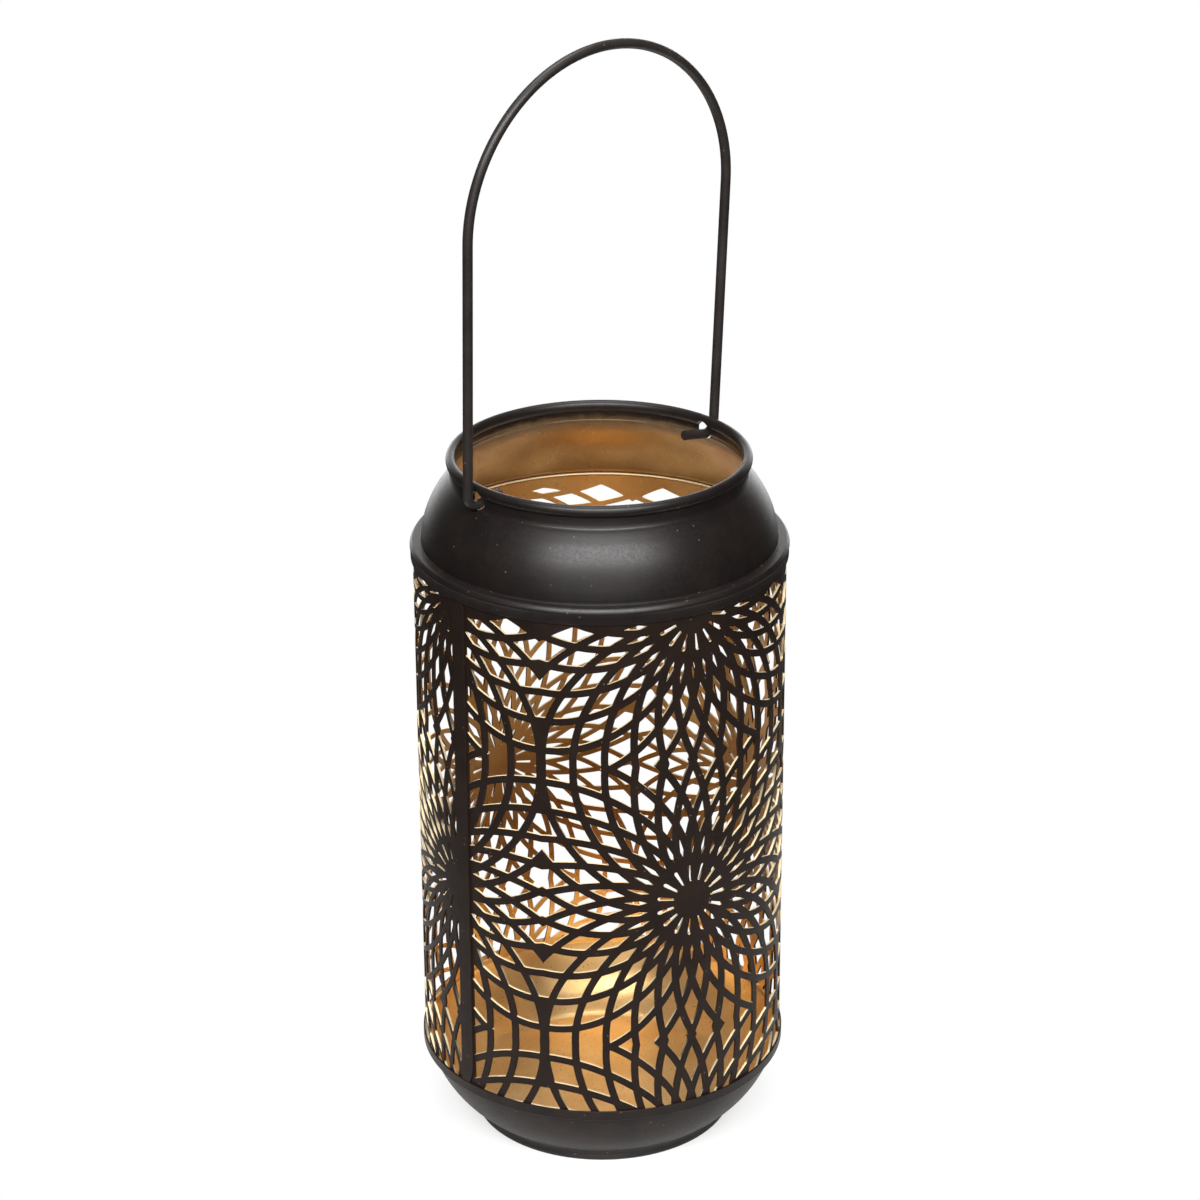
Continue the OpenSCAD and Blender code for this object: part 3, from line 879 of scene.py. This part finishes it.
class LANTERN_OT_collar(bpy.types.Operator):
    """Makes the collar: rolled rim, neck with its two holes, dome, flange and skirt"""
    bl_idname = "lantern.collar"
    bl_label = "Collar"

    def execute(self, context):
        scene = context.scene
        collar, sleeve, finish = scene.lantern_collar, scene.lantern_sleeve, scene.lantern_finish
        # the third material is a painted highlight on the bead's upper side
        black, painted, bright = range(3)
        seat = sleeve.top
        flange = seat + collar.flange_height
        neck = flange + collar.dome_height
        dome = spline([(collar.neck_radius + x * (collar.dome_radius - collar.neck_radius),
                        flange + y * collar.dome_height) for x, y in DOME_SHARES], steps=5)
        ledge = from_corner(dome[-1][0], flange, [(0.12, 0.35), (0.5, 0)])
        skirt_in = sleeve.radius + FIT
        skirt_out = skirt_in + collar.sheet
        # the flange's edge is pressed to a steep bevel, with a small step to the skirt
        far = skirt_out + collar.flange_over
        edge = from_corner(far, flange, [(-1.4, 0), (-1.1, -0.04), (-0.88, -0.14), (-0.74, -0.3),
                                         (-0.66, -0.42), (-0.24, -1.1), (-0.17, -1.25),
                                         (-0.05, -1.6), (0, -1.9)])
        edge += from_corner(far, seat, [(0, 0.8), (-0.1, 0.4)]) + [(skirt_out, seat)]
        bottom = seat - collar.skirt_height
        skirt = [(skirt_out, bottom + EASE), (skirt_out - EASE, bottom),
                 (skirt_in + EASE, bottom), (skirt_in, bottom + EASE)]
        outside = rolled_rim(collar, neck) + dome + ledge + edge + skirt
        # inside, the dome ends in a sharp cove over a small bead that rests on the sheet; the
        # bead's upper side carries a painted highlight in the pale edge paint
        inner = offset(dome, collar.sheet)
        bead = from_corner(sleeve.radius - sleeve.thickness, seat,
                           [(-0.5, 0), (-0.7, 0.3), (-0.8, 0.7), (-0.2, 1.15), (-0.2, 1.7),
                            (-1.2, 2.5)])
        cove = from_corner(inner[-1][0], inner[-1][1], [(0.3, -0.5)])
        under = coated([(skirt_in, seat)] + bead[:2], painted) + coated(bead[2:3], bright) \
            + coated(bead[3:] + cove, painted)
        # a shallow groove inside marks where the dome leaves the neck
        depth, half_height = 0.3 * MM, 0.5 * MM
        over_dome = (inner[0][0], inner[0][1] + 2 * MM)
        groove = [(r + depth * math.exp(-((z - neck) / half_height) ** 2), z)
                  for r, z in spline([over_dome, inner[0], inner[1]], steps=8)]
        inside = inner[:1:-1] + groove[::-1]
        coat = material_once("black_powder_coat_on_steel", powder_coat, finish.coat,
                             finish.coat_worn, finish.speck)
        # the rolled rim is black all round, and the neck's inner face carries the overspray
        overspray = (neck - 5.5 * MM, neck + 4 * MM, finish.coat)
        gold = material_once("gold_bronze_paint_in_neck", bronze_paint, finish.gold_deep,
                             finish.gold, fade=overspray)
        # the pale edge paint here is a painted highlight on the bead's upper side
        highlight_edge_paint = material_once("thin_gold_paint_on_cut_edges", edge_paint_with_painted_light, finish.edge_side_in_painted_shade,
                               finish.edge)
        mesh = lathe("collar_look", coated(outside, black) + under + coated(inside, painted),
                     [coat, gold, highlight_edge_paint])
        piece = new_piece("collar_look", mesh, "lantern", "collar")
        past_neck = 80 * MM
        cut_bail_holes(piece, collar.hole_offset, neck + HOLE_SHARE * collar.neck_height,
                       collar.hole_radius, past_neck, coat)
        smooth(piece.data, degrees=32)
        return {"FINISHED"}


# The base cup

def arc(cx, cz, radius, start, end, steps):
    """Points of an arc round (cx, cz)."""
    return [(cx + radius * math.cos(start + (end - start) * i / steps),
             cz + radius * math.sin(start + (end - start) * i / steps))
            for i in range(steps + 1)]


class LANTERN_OT_cup(bpy.types.Operator):
    """Makes the base cup: lip, ledge, curved wall, floor and foot ring"""
    bl_idname = "lantern.cup"
    bl_label = "Base cup"

    def execute(self, context):
        scene = context.scene
        cup, sleeve, collar = scene.lantern_cup, scene.lantern_sleeve, scene.lantern_collar
        finish = scene.lantern_finish
        black, painted, matt = range(3)
        sheet, ledge = collar.sheet, sleeve.bottom
        lip_in = sleeve.radius + FIT
        lip_out = lip_in + sheet
        lip_top = ledge + cup.lip_height
        # the wall is an arc from the channel over the foot ring up to the ledge
        channel = (cup.foot_radius - 0.6 * cup.foot_width, cup.foot_height + 0.7 * sheet)
        low = (channel[0] + 2 * sheet, channel[1] + 0.4 * sheet)
        high = (sleeve.radius - sleeve.thickness - FIT, ledge - sheet)
        dx, dz = high[0] - low[0], high[1] - low[1]
        chord = math.hypot(dx, dz)
        reach = math.sqrt(cup.bowl_radius ** 2 - chord ** 2 / 4)
        cx = (low[0] + high[0]) / 2 - reach * dz / chord
        cz = (low[1] + high[1]) / 2 + reach * dx / chord
        start = math.atan2(low[1] - cz, low[0] - cx)
        end = math.atan2(high[1] - cz, high[0] - cx)
        wall = arc(cx, cz, cup.bowl_radius, start, end, steps=36)
        wall += [(high[0] + 0.5 * MM, ledge - sheet), (lip_out - EASE, ledge - sheet),
                 (lip_out, ledge - sheet + EASE), (lip_out, lip_top - EASE),
                 (lip_out - EASE, lip_top)]
        # inside, a fillet joins the wall to the floor
        inner = cup.bowl_radius - sheet
        fillet_size, fillet_steps = 3 * sheet, 8
        top = math.asin((ledge - cz) / inner)
        at_floor = math.asin((cup.floor_height - cz) / inner)
        begin = at_floor + fillet_size / inner
        corner = (cx + inner * math.cos(at_floor), cup.floor_height)
        on_wall = (cx + inner * math.cos(begin), cz + inner * math.sin(begin))
        on_floor = (corner[0] - fillet_size, corner[1])
        fillet = [tuple((1 - t) ** 2 * on_wall[n] + 2 * t * (1 - t) * corner[n]
                        + t * t * on_floor[n] for n in (0, 1))
                  for t in (i / fillet_steps for i in range(1, fillet_steps + 1))]
        inside = [(lip_in + EASE, lip_top), (lip_in, lip_top - EASE), (lip_in, ledge)]
        inside += arc(cx, cz, inner, top, begin, steps=32) + fillet + [(0.0, cup.floor_height)]
        # the foot ring leans outward under a shallow channel, so it catches the light as one
        # soft line
        foot_in = cup.foot_radius - cup.foot_width
        outside = [(0.0, cup.floor_height - sheet), (foot_in, cup.floor_height - sheet)]
        outside += from_corner(foot_in, 0, [(0, 0.5), (0.5, 0)])
        outside += from_corner(cup.foot_radius, 0, [
            (-1.0, 0), (-0.45, 0.12), (-0.12, 0.45), (0, 0.85), (-0.02, 1.2), (-0.15, 1.7),
            (-0.34, 2.2), (-0.5, 2.7), (-0.58, 3.15), (-0.55, 3.55), (-0.43, 3.95)])
        coat = material_once("black_powder_coat_on_steel", powder_coat, finish.coat,
                             finish.coat_worn, finish.speck)
        gold = material_once("gold_bronze_paint_in_cup", bronze_paint, finish.cup_deep,
                             finish.cup_gold, metal=0.7)
        # on the bowl's steep side the coat is thinner and matt
        dull = material_once("matt_powder_coat_on_bowl", powder_coat, finish.coat,
                             finish.sheet_worn, finish.speck, ior=1.25, rough=0.45)
        mesh = lathe("cup_look", coated(outside, black) + coated(wall, matt)
                     + coated(inside, painted), [coat, gold, dull])
        smooth(mesh, degrees=32)
        new_piece("cup_look", mesh, "lantern", "base_cup")
        return {"FINISHED"}


# The bail

def bail_path(bail, collar):
    """Middle line of the bail's wire, as (x, height above the hinge line), from tip to tip."""
    hook_steps, bend_steps, leg_steps, arch_steps = 6, 12, 24, 36
    rim = collar.neck_radius - collar.sheet / 2 + collar.rim_width / 2
    leg = rim + bail.leg_gap + bail.wire_radius
    bend, spread, slope = bail.bend_radius, bail.spread, bail.hook_angle
    turn = leg - bend
    # from the hook's tip out through the neck
    first = (turn - bend * math.sin(slope), bend - bend * math.cos(slope))
    through = turn - collar.neck_radius + collar.sheet - bend * math.sin(slope)
    tip = bail.hook_length + through / math.cos(slope)
    half = [(first[0] - math.cos(slope) * tip * k / hook_steps,
             first[1] + math.sin(slope) * tip * k / hook_steps)
            for k in range(hook_steps, 0, -1)]
    # round the bend, up the leg and along half of the arch
    for k in range(bend_steps + 1):
        t = -math.pi / 2 - slope + (math.pi / 2 + slope - spread) * k / bend_steps
        half.append((turn + bend * math.cos(t), bend + bend * math.sin(t)))
    foot = half[-1]
    rise = bail.leg_height - foot[1]
    top_x = foot[0] + rise * math.tan(spread)
    for k in range(1, leg_steps + 1):
        half.append((foot[0] + (top_x - foot[0]) * k / leg_steps, foot[1] + rise * k / leg_steps))
    arch = top_x / math.cos(spread)
    for k in range(1, arch_steps + 1):
        t = -spread + (math.pi / 2 + spread) * k / arch_steps
        half.append((arch * math.cos(t),
                     bail.leg_height + arch * (math.sin(spread) + math.sin(t))))
    return half + [(-x, z) for x, z in reversed(half[:-1])]


def bend_wire(path, radius, sides=24):
    """A round wire along a path of (x, z) points, with its two ends eased."""
    tip_ease = 0.4 * MM
    build = bmesh.new()
    rings = []
    for i, (x, z) in enumerate(path):
        before, after = path[max(i - 1, 0)], path[min(i + 1, len(path) - 1)]
        dx, dz = after[0] - before[0], after[1] - before[1]
        size = math.hypot(dx, dz)
        nx, nz = dz / size, -dx / size
        rings.append([build.verts.new((x + radius * math.cos(t) * nx, radius * math.sin(t),
                                       z + radius * math.cos(t) * nz))
                      for t in (2 * math.pi * s / sides for s in range(sides))])
    for a, b in zip(rings, rings[1:]):
        for s in range(sides):
            t = (s + 1) % sides
            build.faces.new([a[s], a[t], b[t], b[s]])
    for ring in (rings[0], rings[-1]):
        build.faces.new(ring)
    bmesh.ops.recalc_face_normals(build, faces=build.faces)
    # only the two end faces have more than four corners
    ends = [e for e in build.edges if len(e.link_faces) == 2
            and any(len(f.verts) > 4 for f in e.link_faces)]
    bmesh.ops.bevel(build, geom=ends, offset=tip_ease, segments=2, affect="EDGES")
    return build


class LANTERN_OT_bail(bpy.types.Operator):
    """Makes the bail: one round wire, bent to an arch and hooked into the neck"""
    bl_idname = "lantern.bail"
    bl_label = "Bail"

    def execute(self, context):
        scene = context.scene
        bail, collar, finish = scene.lantern_bail, scene.lantern_collar, scene.lantern_finish
        # the wire lies just over the lower edge of its holes
        clear = 0.2 * MM
        neck = scene.lantern_sleeve.top + collar.flange_height + collar.dome_height
        hinge = neck + HOLE_SHARE * collar.neck_height - collar.hole_radius \
            + bail.wire_radius + clear
        build = bend_wire(bail_path(bail, collar), bail.wire_radius)
        lean = (Matrix.Translation((-bail.shift, collar.hole_offset, hinge))
                @ Matrix.Rotation(bail.lean, 4, "X"))
        bmesh.ops.transform(build, matrix=lean, verts=build.verts)
        mesh = bpy.data.meshes.new("bail_wire")
        build.to_mesh(mesh)
        build.free()
        mesh.materials.append(material_once("black_powder_coat_on_wire", powder_coat,
                                            finish.wire_coat, finish.wire_worn, finish.speck))
        smooth(mesh, degrees=40)
        new_piece("bail_wire", mesh, "bail", "bail")
        return {"FINISHED"}


# The studio

def make_table(scene, studio):
    """The table under the lantern, turned to face the camera."""
    # half its width, and how far it reaches towards the camera and away from it, in metres
    wide, front, behind = 0.3, 0.22, 0.35
    mesh = bpy.data.meshes.new("table")
    mesh.from_pydata([(-front, -wide, 0), (behind, -wide, 0), (behind, wide, 0),
                      (-front, wide, 0)], [], [(0, 1, 2, 3)])
    table = bpy.data.objects.new("table", mesh)
    table.rotation_euler.z = studio.around + math.pi
    scene.collection.objects.link(table)
    mesh.materials.append(material_once("white_laminate_table", lit_laminate, studio))


def make_room(scene, studio):
    """The room: a bright white wall behind the lantern, up to a little above its height, and
    dark all round it; white where the camera looks straight at it."""
    # the wall's sides as cosines from straight behind, its top and foot as sines from level
    side_out, side_in = 0.78, 0.95
    top_out, top_in, foot_out, foot_in = 0.6, 0.05, -0.32, -0.18
    world = bpy.data.worlds.new("studio")
    scene.world = world
    world.use_nodes = True
    tree = world.node_tree
    tree.nodes.clear()
    place = add_node(tree, "ShaderNodeTexCoord")
    facing = add_node(tree, "ShaderNodeVectorMath", {
        "operation": "DOT_PRODUCT", 1: (-math.cos(studio.around), -math.sin(studio.around), 0.0)},
        {0: place.outputs["Generated"]})
    wall = add_node(tree, "ShaderNodeMapRange", {
        "interpolation_type": "SMOOTHSTEP", "From Min": side_out, "From Max": side_in},
        {"Value": facing.outputs["Value"]})
    level = add_node(tree, "ShaderNodeSeparateXYZ", links={0: place.outputs["Generated"]})
    under_top = add_node(tree, "ShaderNodeMapRange", {
        "interpolation_type": "SMOOTHSTEP", "From Min": top_out, "From Max": top_in,
        "To Max": studio.wall}, {"Value": level.outputs["Z"]})
    over_foot = add_node(tree, "ShaderNodeMapRange", {
        "interpolation_type": "SMOOTHSTEP", "From Min": foot_out, "From Max": foot_in},
        {"Value": level.outputs["Z"]})
    band = add_node(tree, "ShaderNodeMath", {"operation": "MULTIPLY"},
                    {0: under_top.outputs[0], 1: over_foot.outputs[0]})
    glow = add_node(tree, "ShaderNodeMath", {"operation": "MULTIPLY_ADD", 2: studio.room},
                    {0: wall.outputs[0], 1: band.outputs[0]})
    path = add_node(tree, "ShaderNodeLightPath")
    strength = add_node(tree, "ShaderNodeMix", {"data_type": "FLOAT", 3: 1.0},
                        {0: path.outputs["Is Camera Ray"], 2: glow.outputs[0]})
    back = add_node(tree, "ShaderNodeBackground", {"Color": grey(1)},
                    {"Strength": strength.outputs[0]})
    add_node(tree, "ShaderNodeOutputWorld", links={"Surface": back.outputs[0]})


def make_camera(scene, studio):
    """The camera, placed and turned as the photograph was taken."""
    around = studio.around
    forward = Vector((-math.cos(around) * math.cos(studio.down),
                      -math.sin(around) * math.cos(studio.down), -math.sin(studio.down)))
    right = Vector((-math.sin(around), math.cos(around), 0))
    up = right.cross(forward)
    turned_right = right * math.cos(studio.roll) - up * math.sin(studio.roll)
    turned_up = up * math.cos(studio.roll) + right * math.sin(studio.roll)
    camera_data = bpy.data.cameras.new("camera")
    camera_data.sensor_width = 36
    camera_data.lens = studio.lens
    camera_data.clip_end = 50
    camera = bpy.data.objects.new("camera", camera_data)
    scene.collection.objects.link(camera)
    spot = Vector((studio.distance * math.cos(around), studio.distance * math.sin(around),
                   studio.height))
    camera.matrix_world = Matrix.Translation(spot) @ Matrix(
        (turned_right, turned_up, -forward)).transposed().to_4x4()
    scene.camera = camera


def softbox(scene, name, around, out, high, size, watts, aim=0.2):
    """A rectangular lamp at this angle round the axis, this far out and high, in metres, and
    aimed at this height on the axis."""
    lamp_data = bpy.data.lights.new(name, "AREA")
    lamp_data.shape = "RECTANGLE"
    lamp_data.size, lamp_data.size_y = size
    lamp_data.energy = watts
    lamp = bpy.data.objects.new(name, lamp_data)
    scene.collection.objects.link(lamp)
    where = Vector((out * math.cos(around), out * math.sin(around), high))
    lamp.location = where
    lamp.rotation_euler = (Vector((0, 0, aim)) - where).to_track_quat("-Z", "Y").to_euler()


class LANTERN_OT_stage(bpy.types.Operator):
    """Makes the table, the room, the camera and the lamps"""
    bl_idname = "lantern.stage"
    bl_label = "Studio"

    def execute(self, context):
        scene = context.scene
        studio = scene.lantern_studio
        make_table(scene, studio)
        make_room(scene, studio)
        make_camera(scene, studio)
        camera_side, far_side = studio.around, studio.around + math.pi
        softbox(scene, "key", camera_side, out=1.6, high=1.6, size=(2.4, 0.5), watts=studio.key)
        softbox(scene, "low", camera_side, out=2.0, high=0.42, size=(2.2, 0.3), watts=studio.low,
                aim=0.1)
        softbox(scene, "overhead", far_side, out=0.15, high=1.7, size=(0.9, 0.9),
                watts=studio.overhead)
        return {"FINISHED"}


# The panel and the run

class LANTERN_PT_parts(bpy.types.Panel):
    """Buttons and sizes for the lantern's pieces"""
    bl_idname = "LANTERN_PT_parts"
    bl_label = "Pierced candle lantern"
    bl_space_type = "VIEW_3D"
    bl_region_type = "UI"
    bl_category = "Lantern"

    def draw(self, context):
        for operator in OPERATORS:
            self.layout.operator(operator.bl_idname)
        for name, group in GROUPS.items():
            box = self.layout.box()
            box.label(text=group.__doc__)
            for prop in group.__annotations__:
                box.prop(getattr(context.scene, name), prop)


OPERATORS = (LANTERN_OT_sleeve, LANTERN_OT_collar, LANTERN_OT_cup, LANTERN_OT_bail,
             LANTERN_OT_stage)
CLASSES = (*GROUPS.values(), *OPERATORS, LANTERN_PT_parts)


def register():
    for cls in CLASSES:
        bpy.utils.register_class(cls)
    for name, group in GROUPS.items():
        setattr(bpy.types.Scene, name, bpy.props.PointerProperty(type=group))


def unregister():
    for name in GROUPS:
        delattr(bpy.types.Scene, name)
    for cls in reversed(CLASSES):
        bpy.utils.unregister_class(cls)


def main():
    register()
    bpy.context.scene.view_settings.view_transform = "Standard"
    bpy.ops.lantern.sleeve()
    bpy.ops.lantern.collar()
    bpy.ops.lantern.cup()
    bpy.ops.lantern.bail()
    bpy.ops.lantern.stage()


if __name__ == "__main__":
    main()
